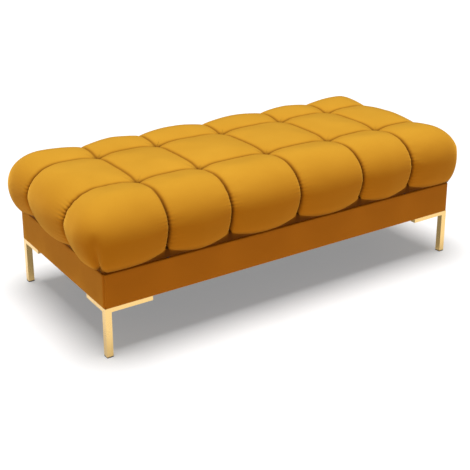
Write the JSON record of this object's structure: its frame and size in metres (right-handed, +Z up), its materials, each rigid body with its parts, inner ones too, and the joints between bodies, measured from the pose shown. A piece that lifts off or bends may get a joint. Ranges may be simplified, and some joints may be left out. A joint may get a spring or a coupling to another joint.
{
  "type": "storage ottoman",
  "caption": "Low upholstered bench ottoman with a tufted velvet seat hinged along the back over a shallow storage box, on slim square metal corner legs.",
  "frame": {"origin": "on the floor, under the centre of the ottoman", "axes": "+X along the long side, +Y to the back (the hinge side), +Z up"},
  "size_m": [1.2998, 0.6028, 0.4226],
  "materials": {
    "velvet": "matte",
    "gold_metal": "polished",
    "timber": "matte",
    "plywood": "matte",
    "black_cloth": "matte",
    "foam": "matte",
    "wadding": "matte",
    "zinc_steel": "satin",
    "black_plastic": "satin",
    "bumper_rubber": "matte"
  },
  "bodies": {
    "base": {"front_rail": "timber", "back_rail": "timber", "left_rail": "timber", "right_rail": "timber", "frame_screws": "zinc_steel", "gusset_front_left": "plywood", "gusset_front_right": "plywood", "gusset_back_left": "plywood", "gusset_back_right": "plywood", "front_cleat": "timber", "back_cleat": "timber", "left_cleat": "timber", "right_cleat": "timber", "floor_crossbar": "timber", "floor_panel": "plywood", "storage_lining": "black_cloth", "dust_cover": "black_cloth", "base_cover": "velvet", "leg_front_left": "gold_metal", "leg_front_right": "gold_metal", "leg_back_left": "gold_metal", "leg_back_right": "gold_metal", "leg_screws": "zinc_steel", "glide_front_left": "black_plastic", "glide_front_right": "black_plastic", "glide_back_left": "black_plastic", "glide_back_right": "black_plastic", "lid_bumpers": "bumper_rubber", "hinge_left_base_leaf": "zinc_steel", "hinge_mid_base_leaf": "zinc_steel", "hinge_right_base_leaf": "zinc_steel", "hinge_left_pin": "zinc_steel", "hinge_mid_pin": "zinc_steel", "hinge_right_pin": "zinc_steel", "hinge_screws_base": "zinc_steel", "stay_left_bracket": "zinc_steel", "stay_right_bracket": "zinc_steel", "stay_left_rivet": "zinc_steel", "stay_right_rivet": "zinc_steel", "stay_screws_base": "zinc_steel"},
    "lid": {"hinge_left_lid_leaf": "zinc_steel", "hinge_mid_lid_leaf": "zinc_steel", "hinge_right_lid_leaf": "zinc_steel", "hinge_screws_lid": "zinc_steel", "stay_left_plate": "zinc_steel", "stay_right_plate": "zinc_steel", "stay_screws_lid": "zinc_steel", "lid_board": "plywood", "lid_lining": "black_cloth", "seat_foam": "foam", "seat_wadding": "wadding", "seat_cover": "velvet", "tuft_twines": "black_cloth", "tuft_anchors": "black_plastic"},
    "stay_left": {"stay_left_arm": "zinc_steel", "stay_left_slider": "black_plastic"},
    "stay_right": {"stay_right_arm": "zinc_steel", "stay_right_slider": "black_plastic"}
  },
  "joints": [
    {"name": "lid_hinge", "type": "hinge", "parent": "base", "child": "lid", "pos_m": [0, 0.2825, 0.238], "axis": [-1, 0, 0], "range_deg": [0, 65]},
    {"name": "stay_left_pivot", "type": "hinge", "parent": "base", "child": "stay_left", "pos_m": [-0.58425, 0.14246, 0.18424], "axis": [-1, 0, 0], "range_deg": [0, 130]},
    {"name": "stay_right_pivot", "type": "hinge", "parent": "base", "child": "stay_right", "pos_m": [0.58425, 0.14246, 0.18424], "axis": [-1, 0, 0], "range_deg": [0, 130]}
  ],
  "couplings": [
    {"joint": "stay_left_pivot", "follows": "lid_hinge", "ratio": 2},
    {"joint": "stay_right_pivot", "follows": "lid_hinge", "ratio": 2}
  ]
}
